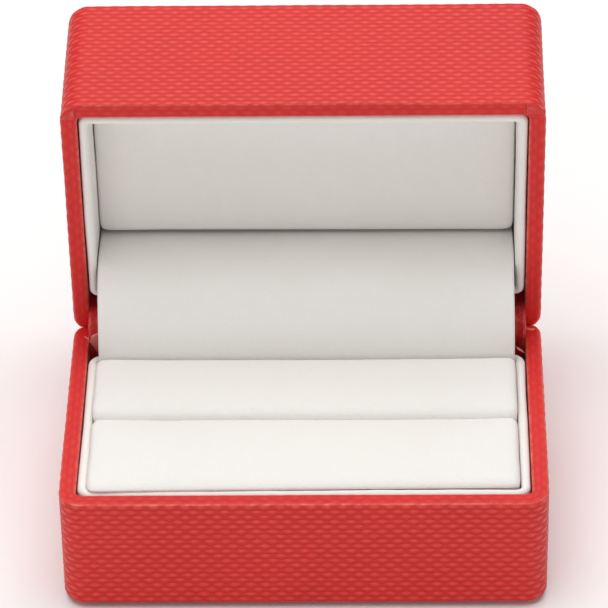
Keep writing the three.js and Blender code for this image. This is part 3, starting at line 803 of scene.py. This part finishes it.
def make_collar(name, node, base_half):
    """A white leatherette frame with a full bead along its free edge."""
    s = sizes()
    low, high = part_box(node) if base_half else shut_box(node)
    rim_z, way_z = (high.z, -1.0) if base_half else (low.z, 1.0)
    corner = BASE_COLLAR_CORNER if base_half else LID_COLLAR_CORNER
    t, deep = s.collar, high.z - low.z
    r = t / 2
    line = [(0.0, deep, -1, 0), (0.0, r, -1, 0), *arc_line(r, r, r, 2, 2, 13), (t, deep, 1, 0)]
    fine, _ = resample(line, 0.16 * MM)
    # Below the bead a few rows are enough.
    keep = (fine[:, 1] < 3.0 * MM) | (np.arange(len(fine)) % 6 == 0)
    keep[[0, -1]] = True
    section = np.vstack([fine[keep], [(0.0, deep, 0, 0)]])
    rows = len(section) - 1
    bm, place = sheet_grid(COLLAR_COLUMNS, rows)
    index = np.clip(np.rint(place[:, 1] * rows).astype(int), 0, rows)
    inset, depth, out_i, out_d = section[index].T
    x, y, nx, ny, _ = outline(place[:, 0], inset, (high.x, low.y, high.y), corner)
    soft = waves(x, y, depth, 4 * MM, 8.0 if base_half else 9.0) * 0.07 * MM
    fine_wave = waves(x, y, depth, 0.9 * MM, 4.0) * 0.02 * MM
    push = np.where(section[index, 2:].any(1), soft + fine_wave, 0.0)
    z = rim_z + way_z * (depth + out_d * push)
    co = np.stack([x - nx * out_i * push, y - ny * out_i * push, z], 1)
    set_map(bm, place)
    move_to(bm, co if base_half else turned_open(co))
    close_up(bm)
    return make_object(bm, name, "collar_leatherette")


class RINGBOX_OT_collars(bpy.types.Operator):
    """Lines both halves with beaded white collars"""

    bl_idname = "ring_box.collars"
    bl_label = "Line the halves"

    def execute(self, context):
        for name, node, base_half in (("base_collar_lining", "base_collar", True),
                                      ("lid_collar_lining", "lid_collar", False)):
            obj = make_collar(name, node, base_half)
            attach(obj, "base" if base_half else "lid")
            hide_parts(node)
        return {"FINISHED"}


# ---------------------------------------------------------------- padding

SWELL_SCALE = 7.0  # padding is swelled at this many times its size, where cloth behaves well
CLOTH_MASS, CLOTH_STIFFNESS = 0.3, 12
SMOOTHINGS = 3
PRESS_SOFT = 0.25 * MM  # over how much the padding gives way where it meets its neighbours


def rounded_block(low, high, front, rear, ends):
    """A block from its corners, with its upper front, rear and end edges bevelled by these radii."""
    bm = bmesh.new()
    bmesh.ops.create_cube(bm, size=1.0)
    size, centre = high - low, (high + low) / 2
    place = Matrix.Translation(centre) @ Matrix.Diagonal((*size, 1.0))
    bmesh.ops.transform(bm, matrix=place, verts=bm.verts)
    near = 1e-6

    def soften(radius, chosen):
        edges = [e for e in bm.edges if chosen(*(v.co for v in e.verts))]
        bmesh.ops.bevel(bm, geom=edges, offset=radius, offset_type="OFFSET", segments=5, profile=0.5,
                        affect="EDGES", material=-1)

    soften(front, lambda a, b: min(a.z, b.z) > high.z - near and max(a.y, b.y) < low.y + near)
    soften(rear, lambda a, b: min(a.z, b.z) > high.z - near and min(a.y, b.y) > high.y - near)
    soften(ends, lambda a, b: max(a.z, b.z) > centre.z and abs(a.x - b.x) < near
           and abs(abs(a.x - centre.x) - size.x / 2) < near)
    bmesh.ops.recalc_face_normals(bm, faces=bm.faces[:])
    return bm


def swell(obj, pressure, frames, cap):
    """Remeshes a block and swells it as pressed cloth, with each point's travel capped."""
    obj.data.transform(Matrix.Scale(SWELL_SCALE, 4))
    remesh = obj.modifiers.new("even", "REMESH")
    remesh.mode = "VOXEL"
    remesh.voxel_size = sizes().voxel * SWELL_SCALE
    apply_modifiers(obj)
    co = read_points(obj.data)
    cloth = obj.modifiers.new("swell", "CLOTH")
    cloth.settings.use_pressure = True
    cloth.settings.uniform_pressure_force = pressure
    cloth.settings.effector_weights.gravity = 0.0
    cloth.settings.mass = CLOTH_MASS
    cloth.settings.tension_stiffness = CLOTH_STIFFNESS
    cloth.settings.compression_stiffness = CLOTH_STIFFNESS
    cloth.point_cache.frame_start = 1
    cloth.point_cache.frame_end = frames
    scene = bpy.context.scene
    for number in range(1, frames + 1):
        scene.frame_set(number)
    apply_modifiers(obj)
    scene.frame_set(1)
    move = read_points(obj.data) - co
    far = np.maximum(np.linalg.norm(move, axis=1), 1e-9)
    most = np.percentile(far, 97)
    co = co + move * (cap * SWELL_SCALE * np.tanh(far / most) / far)[:, None]
    write_points(obj.data, co / SWELL_SCALE)
    obj.data.update()


def apply_modifiers(obj):
    """Gives the object the mesh that its modifiers make, and removes them."""
    bpy.context.view_layer.update()
    graph = bpy.context.evaluated_depsgraph_get()
    done = bpy.data.meshes.new_from_object(obj.evaluated_get(graph))
    old = obj.data
    obj.modifiers.clear()
    obj.data = done
    bpy.data.meshes.remove(old)


def press_into(co, low, high, soft):
    """Keeps points inside a box, giving way softly over the last part."""
    for k in range(3):
        for side, wall in ((-1, low[k]), (1, high[k])):
            reach = (co[:, k] - wall) * side + soft
            over = reach > 0
            co[over, k] = wall + side * (soft * np.tanh(reach[over] / soft) - soft)
    return co


def finish_padding(obj, low, high, finish_name, shape):
    """Presses the swelled piece into its space, smooths it, and lets a function shape it."""
    mesh = obj.data
    write_points(mesh, press_into(read_points(mesh), low, high, PRESS_SOFT))
    mesh.materials.clear()
    mesh.materials.append(finish(finish_name))
    bm = bmesh.new()
    bm.from_mesh(mesh)
    for _ in range(SMOOTHINGS):
        bmesh.ops.smooth_vert(bm, verts=bm.verts[:], factor=0.5,
                              use_axis_x=True, use_axis_y=True, use_axis_z=True)
    move_to(bm, shape(np.array([v.co for v in bm.verts])))
    bmesh.ops.recalc_face_normals(bm, faces=bm.faces[:])
    bm.to_mesh(mesh)
    bm.free()
    fine = obj.modifiers.new("fine", "SUBSURF")
    fine.levels = 1
    fine.render_levels = 1
    apply_modifiers(obj)
    shade_smooth(obj.data)


def make_cushion(name, node, front):
    """One ring cushion: foam under white leatherette, crowned, full at its ends, rolled at the slit."""
    low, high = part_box(node)
    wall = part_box("base_collar")[1].x - sizes().collar
    into_slit = 0.16 * MM
    front_edge = low.y - (0.1 * MM if front else into_slit)
    rear_edge = high.y + (into_slit if front else 0.35 * MM)
    top = high.z + (0.70 if front else 1.0) * MM
    bm = rounded_block(Vector((-wall + 0.04 * MM, front_edge, low.z)),
                       Vector((wall - 0.12 * MM, rear_edge, top)),
                       front=(2.0 if front else 2.4) * MM, rear=0.6 * MM, ends=0.9 * MM)
    obj = make_object(bm, name, "cushion_leatherette")
    swell(obj, 4.0, 20, sizes().crown)

    def shape(co):
        x, y, z = co.T
        upper = np.clip((z - (high.z - 4 * MM)) / (4 * MM), 0, 1)
        z = z + upper * 0.08 * MM * waves(x, y * 0.4, 0 * z, 9 * MM, 1.3 if front else 2.2)
        z = z + upper * 0.015 * MM * waves(x, y, 0 * z, 2.2 * MM, 6.0 if front else 7.0)
        # The upper part swells out over the collar's bead, at the ends and along the front.
        over = smoothstep(np.clip((z - (BASE_RIM - 0.60 * MM)) / (0.45 * MM), 0, 1))
        x = x + over * (0.12 * hill(x - wall, 1.5 * MM) - 0.25 * hill(x + wall, 1.5 * MM)) * MM
        if front:
            leftward = np.clip(-x / wall, -1, 1)
            y = y - over * hill(y - low.y, 2.2 * MM) * (1.40 + 0.50 * leftward) * MM
        return np.stack([x, y, np.maximum(z, low.z)], 1)

    finish_padding(obj, (-wall - 0.12 * MM, front_edge - 0.15 * MM, low.z),
                   (wall + 0.04 * MM, rear_edge + 0.1 * MM, top + 0.6 * MM), "cushion_leatherette", shape)
    return obj


def make_lid_pad():
    """The lid's padded board: nearly flat, rolled over at its edges."""
    low, high = shut_box("lid_pad")
    wall = shut_box("lid_collar")[1].x - sizes().collar
    # The pad faces down when the lid is shut, so it is made face up and turned over.
    turned_over = Matrix.Diagonal((1, 1, -1, 1))
    face, back = -low.z, -high.z
    bm = rounded_block(Vector((-wall + 0.02 * MM, low.y + 0.05 * MM, back)),
                       Vector((wall - 0.10 * MM, high.y - 0.05 * MM, face + 0.1 * MM)),
                       front=0.8 * MM, rear=0.45 * MM, ends=0.5 * MM)
    obj = make_object(bm, "lid_pad_cover", "pad_leatherette")
    swell(obj, 2.5, 16, sizes().pad_crown)

    def shape(co):
        x, y, z = co.T
        upper = np.clip((z - (face - 2 * MM)) / (2 * MM), 0, 1)
        z = z + upper * 0.06 * MM * waves(x, y, 0 * z, 12 * MM, 4.4)
        z = z + upper * 0.010 * MM * waves(x, y, 0 * z, 2.5 * MM, 5.2)
        # The lower edge hangs a little, more so to the right, and its corners are rounded.
        hang = np.clip(1 - (high.y - y) / (3 * MM), 0, 1)
        corner = hill(wall - np.abs(x), 0.9 * MM) * hang ** 3
        across = np.sin(np.clip(x / wall, -1, 1) * 2.4)
        y = y + hang * (0.34 + 0.12 * across) * MM - 0.4 * MM * corner
        x = x - np.sign(x) * 0.35 * MM * corner
        return np.stack([x, y, z], 1)

    finish_padding(obj, (-wall - 0.12 * MM, low.y - 0.10 * MM, back),
                   (wall + 0.02 * MM, high.y + 0.10 * MM, face + 0.4 * MM), "pad_leatherette", shape)
    obj.data.transform(TURN_OPEN @ turned_over)
    obj.data.flip_normals()
    obj.data.update()
    return obj


class RINGBOX_OT_cushions(bpy.types.Operator):
    """Makes the two ring cushions"""

    bl_idname = "ring_box.cushions"
    bl_label = "Make the ring cushions"

    def execute(self, context):
        for name, node, front in (("front_ring_cushion", "front_cushion", True),
                                  ("rear_ring_cushion", "rear_cushion", False)):
            obj = make_cushion(name, node, front)
            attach(obj, "base")
            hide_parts(node)
        return {"FINISHED"}


class RINGBOX_OT_lid_pad(bpy.types.Operator):
    """Makes the padded board inside the lid"""

    bl_idname = "ring_box.lid_pad"
    bl_label = "Make the lid pad"

    def execute(self, context):
        obj = make_lid_pad()
        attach(obj, "lid")
        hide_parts("lid_pad")
        return {"FINISHED"}


# ---------------------------------------------------------------- flap and strip

FLAP_THICK, CARD_THICK, STRIP_THICK = 0.42 * MM, 0.30 * MM, 0.30 * MM
# Two spans for each sheet, back and up from the pin.
FLAP_BEND = ((-9 * MM, -1 * MM), (3 * MM, 12 * MM))
STRIP_BEND = ((-3 * MM, -1.5 * MM), (1.5 * MM, 3 * MM))


def middle_line(node, steps):
    """The middle line of a bent CAD sheet in the YZ plane, from its lower end to its far end."""
    bm = bmesh.new()
    bm.from_mesh(frame["nodes"][node].data)
    bmesh.ops.remove_doubles(bm, verts=bm.verts[:], dist=1e-6)
    side = max(v.co.x for v in bm.verts)
    end = [v for v in bm.verts if v.co.x > side - 1e-6]

    def bounds_end(edge):
        flat = [f for f in edge.link_faces if all(abs(v.co.x - side) < 1e-6 for v in f.verts)]
        return len(flat) == 1

    # Walk once round the flat end's border.
    ring = {v: [e.other_vert(v) for e in v.link_edges if e.other_vert(v) in end and bounds_end(e)]
            for v in end}
    first = end[0]
    order, last = [first], None
    while True:
        step = [v for v in ring[order[-1]] if v is not last]
        last = order[-1]
        if step[0] is first or len(order) > len(end):
            break
        order.append(step[0])
    loop = np.array([(v.co.y, v.co.z) for v in order])
    bm.free()
    count = len(loop)
    # The sheet's two faces have as many points each, so opposite points pair across one end.
    best = None
    for shift in range(count):
        turned = np.roll(loop, -shift, 0)
        one, two = turned[:count // 2], turned[count // 2:][::-1]
        gap = np.linalg.norm(one - two, axis=1)
        if best is None or gap.max() < best[0]:
            best = (gap.max(), (one + two) / 2)
    line = best[1]
    if line[0, 1] > line[-1, 1]:
        line = line[::-1]
    gaps = np.linalg.norm(np.diff(line, axis=0), axis=1)
    way = np.concatenate([[0], np.cumsum(gaps)])
    at = np.linspace(0, way[-1], steps + 1)
    return np.stack([np.interp(at, way, line[:, k]) for k in range(2)], 1), way[-1]


def make_bent(name, node, thick, columns, rows, finish_name, shape):
    """A bent sheet with its two faces, following a CAD sheet's middle line. Also gives its length.

    shape(x, along, length) says how far each point moves sideways and off the middle line."""
    low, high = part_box(node)
    line, length = middle_line(node, 4 * rows)
    # The line is smoothed by a running mean, and its ends stay where they are.
    reach = 4
    mean = np.ones(2 * reach + 1) / (2 * reach + 1)
    longer = np.pad(line, ((reach, reach), (0, 0)), mode="edge")
    smooth = np.stack([np.convolve(longer[:, k], mean, "valid") for k in range(2)], 1)
    smooth[:reach], smooth[-reach:] = line[:reach], line[-reach:]
    line = smooth[::4]
    slope = np.gradient(line, axis=0)
    slope /= np.linalg.norm(slope, axis=1)[:, None]
    normal = np.stack([-slope[:, 1], slope[:, 0]], 1)
    bm, place = sheet_grid(columns, rows)
    index = np.clip(np.rint(place[:, 1] * rows).astype(int), 0, rows)
    x = low.x + (high.x - low.x) * place[:, 0]
    dx, off = shape(x, place[:, 1] * length, length)
    y = line[index, 0] + normal[index, 0] * off
    z = line[index, 1] + normal[index, 1] * off
    set_map(bm, place)
    move_to(bm, np.stack([x + dx, y, z], 1))
    bmesh.ops.recalc_face_normals(bm, faces=bm.faces[:])
    bmesh.ops.solidify(bm, geom=bm.faces[:], thickness=thick)
    bmesh.ops.recalc_face_normals(bm, faces=bm.faces[:])
    return make_object(bm, name, finish_name), length


def flap_shape(x, along, length):
    """The flap wanders a little, and more so along its two free edges."""
    half = np.abs(x).max()
    near = np.clip((np.abs(x) - half + 2.5 * MM) / (2.5 * MM), 0, 1)
    dx = np.sign(x) * near * 0.12 * MM * waves(0 * x + np.sign(x), along, 0 * x, 5 * MM, 2.0)
    off = 0.05 * MM * waves(x, along, 0 * x, 10 * MM, 1.0)
    off = off + 0.02 * MM * waves(x * 0.4, along, 0 * x, 1.6 * MM, 6.0)
    off = off + near * near * 0.10 * MM * waves(x, along, 0 * x, 3 * MM, 3.0)
    return dx, off


def card_shape(x, along, length):
    """The card lies as it is in the CAD model."""
    return 0 * x, 0 * x


def strip_shape(x, along, length):
    """The strip's ends reach the rims, crumple there and stand a little proud."""
    half = np.abs(x).max()
    near = np.clip((np.abs(x) - half + 7 * MM) / (5 * MM), 0, 1)
    at_end = np.clip((np.abs(x) - half + 0.9 * MM) / (0.9 * MM), 0, 1)
    share = np.where(x < 0, 0.6, 0.8)
    crumple = (0.22 * MM * waves(x, along * 1.4, 0 * x, 1.1 * MM, 5.0)
               + 0.10 * MM * waves(x * 1.7, along, 0 * x, 0.5 * MM, 7.0))
    off = near * share * hill(along - 0.42 * length, 5 * MM) * crumple
    dx = np.sign(x) * (0.28 * MM * at_end + 0.04 * MM * near * waves(0 * x, along, x, 2 * MM, 1.0))
    return dx, off + 0.45 * MM * at_end * hill(along - 0.5 * length, 7 * MM)


class RINGBOX_OT_flap(bpy.types.Operator):
    """Hangs the white flap, its stiffening card and the red strip over the hinge"""

    bl_idname = "ring_box.flap"
    bl_label = "Hang the flap and strip"

    def execute(self, context):
        flap, length = make_bent("flap_leather", "hinge_flap", FLAP_THICK, 150, 70,
                                 "flap_leatherette", flap_shape)
        card, _ = make_bent("flap_card", "hinge_flap_card", CARD_THICK, 40, 40, "grey_board", card_shape)
        strip, _ = make_bent("hinge_strip_leather", "hinge_strip", STRIP_THICK, 220, 60,
                             "red_strip", strip_shape)
        for obj, node, slot, bend in ((flap, "hinge_flap", "lining", FLAP_BEND),
                                      (card, "hinge_flap_card", "card", FLAP_BEND),
                                      (strip, "hinge_strip", "strip", STRIP_BEND)):
            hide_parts(node)
            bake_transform(obj)
        return {"FINISHED"}


# ---------------------------------------------------------------- inside and hinge

class RINGBOX_OT_inside(bpy.types.Operator):
    """Dresses the trays, boards, foam, foot and hinge parts"""

    bl_idname = "ring_box.inside"
    bl_label = "Dress the inner pieces"

    def execute(self, context):
        dressed = {
            "black_tray": ("base_shell", "lid_shell"),
            "grey_board": ("insert_card", "lid_pad_board", "lid_pad_riser"),
            "soft_foam": ("front_cushion_foam", "rear_cushion_foam", "lid_pad_foam"),
            "plated_steel": ("hinge_base_leaf", "hinge_lid_leaf", "hinge_pin", "snap_spring",
                             "base_rivet_left", "base_rivet_right", "lid_rivet_left", "lid_rivet_right"),
            "flocked_paper": ("foot_sheet",),
        }
        for name, nodes in dressed.items():
            for node in nodes:
                dress_node(node, name)
        return {"FINISHED"}


# ---------------------------------------------------------------- stage

CAMERA_PLACE = (0.0136, -0.53135, 0.4315)
CAMERA_PITCH, CAMERA_YAW, CAMERA_ROLL = 36.45, -1.65, -1.25
CAMERA_LENS, CAMERA_SENSOR = 250.63816, 36.0
CAMERA_SHIFT = (0.01875, 0.02417763)
FLOOR_HALF = 4.0
WORLD_STRENGTH = 0.32

# Name, place, aim, size, watts and colour of each soft light.
LIGHTS = (
    ("overhead", (-0.05, 0.08, 1.1), (0, 0.02, 0.02), (1.4, 1.1), 11.0, (1.0, 0.995, 0.985)),
    ("rear", (0.0, 1.2, 0.85), (0, 0, 0.03), (1.6, 0.6), 3.6, (1.0, 0.995, 0.985)),
    ("front", (-0.2, -1.25, 0.40), (0, 0, 0.03), (0.9, 0.7), 1.9, (1.0, 0.99, 0.98)),
)


def soft_light(name, place, aim, size, power, light_colour):
    """An area light at a place, aimed at a point."""
    data = bpy.data.lights.new(name, "AREA")
    data.shape = "RECTANGLE"
    data.size, data.size_y = size
    data.energy = power
    data.color = light_colour
    obj = bpy.data.objects.new(name, data)
    obj.location = place
    obj.rotation_euler = (Vector(aim) - Vector(place)).to_track_quat("-Z", "Y").to_euler()
    bpy.context.scene.collection.objects.link(obj)


class RINGBOX_OT_stage(bpy.types.Operator):
    """Sets the floor, the soft light and the camera"""

    bl_idname = "ring_box.stage"
    bl_label = "Set the stage"

    def execute(self, context):
        scene = context.scene
        floor = bpy.data.meshes.new("floor")
        bm = bmesh.new()
        bmesh.ops.create_grid(bm, x_segments=2, y_segments=2, size=FLOOR_HALF)
        bm.to_mesh(floor)
        bm.free()
        mat, shader = new_material("pale_floor")
        shader.inputs["Base Color"].default_value = colours().floor
        shader.inputs["Roughness"].default_value = 0.9
        shader.inputs["Specular IOR Level"].default_value = 0.1
        floor.materials.append(mat)
        ground = bpy.data.objects.new("floor", floor)
        scene.collection.objects.link(ground)

        world = bpy.data.worlds.new("studio")
        world.use_nodes = True
        back = world.node_tree.nodes["Background"]
        back.inputs["Color"].default_value = (1.0, 1.0, 1.0, 1)
        back.inputs["Strength"].default_value = WORLD_STRENGTH
        scene.world = world
        scene.view_settings.view_transform = "Standard"
        scene.view_settings.look = "None"

        for light in LIGHTS:
            soft_light(*light)

        data = bpy.data.cameras.new("camera")
        data.sensor_fit = "HORIZONTAL"
        data.sensor_width = CAMERA_SENSOR
        data.lens = CAMERA_LENS
        data.clip_start, data.clip_end = 0.01, 20.0
        data.shift_x, data.shift_y = CAMERA_SHIFT
        camera = bpy.data.objects.new("camera", data)
        scene.collection.objects.link(camera)
        pitch, yaw, roll = (math.radians(a) for a in (CAMERA_PITCH, CAMERA_YAW, CAMERA_ROLL))
        forward = Vector((math.sin(yaw) * math.cos(pitch), math.cos(yaw) * math.cos(pitch),
                          -math.sin(pitch)))
        right = Vector((math.cos(yaw), -math.sin(yaw), 0))
        up = right.cross(forward)
        right_now = math.cos(roll) * right + math.sin(roll) * up
        up_now = -math.sin(roll) * right + math.cos(roll) * up
        turn = Matrix((right_now, up_now, -forward)).transposed().to_4x4()
        camera.matrix_world = Matrix.Translation(CAMERA_PLACE) @ turn
        scene.camera = camera
        return {"FINISHED"}


# ---------------------------------------------------------------- panel and run

class RINGBOX_PT_panel(bpy.types.Panel):
    """The ring box's steps"""

    bl_label = "Ring Box"
    bl_idname = "RINGBOX_PT_panel"
    bl_space_type = "VIEW_3D"
    bl_region_type = "UI"
    bl_category = "Ring Box"

    def draw(self, context):
        layout = self.layout
        for group in (context.scene.ring_box_sizes, context.scene.ring_box_colours):
            box = layout.box()
            for key in group.bl_rna.properties.keys():
                if key not in ("rna_type", "name"):
                    box.prop(group, key)
        for step in STEPS:
            layout.operator(step.bl_idname)


STEPS = (RINGBOX_OT_stage, RINGBOX_OT_wrap, RINGBOX_OT_collars, RINGBOX_OT_cushions,
         RINGBOX_OT_lid_pad, RINGBOX_OT_flap, RINGBOX_OT_inside)
CLASSES = (RingBoxSizes, RingBoxColours, *STEPS, RINGBOX_PT_panel)


def register():
    for cls in CLASSES:
        bpy.utils.register_class(cls)
    bpy.types.Scene.ring_box_sizes = bpy.props.PointerProperty(type=RingBoxSizes)
    bpy.types.Scene.ring_box_colours = bpy.props.PointerProperty(type=RingBoxColours)


def unregister():
    del bpy.types.Scene.ring_box_colours
    del bpy.types.Scene.ring_box_sizes
    for cls in reversed(CLASSES):
        bpy.utils.unregister_class(cls)


def main():
    """Builds the ring box's looks."""
    register()
    bpy.ops.ring_box.stage()
    bpy.ops.ring_box.wrap()
    bpy.ops.ring_box.collars()
    bpy.ops.ring_box.cushions()
    bpy.ops.ring_box.lid_pad()
    bpy.ops.ring_box.flap()
    bpy.ops.ring_box.inside()
    bpy.context.view_layer.update()


if __name__ == "__main__":
    main()
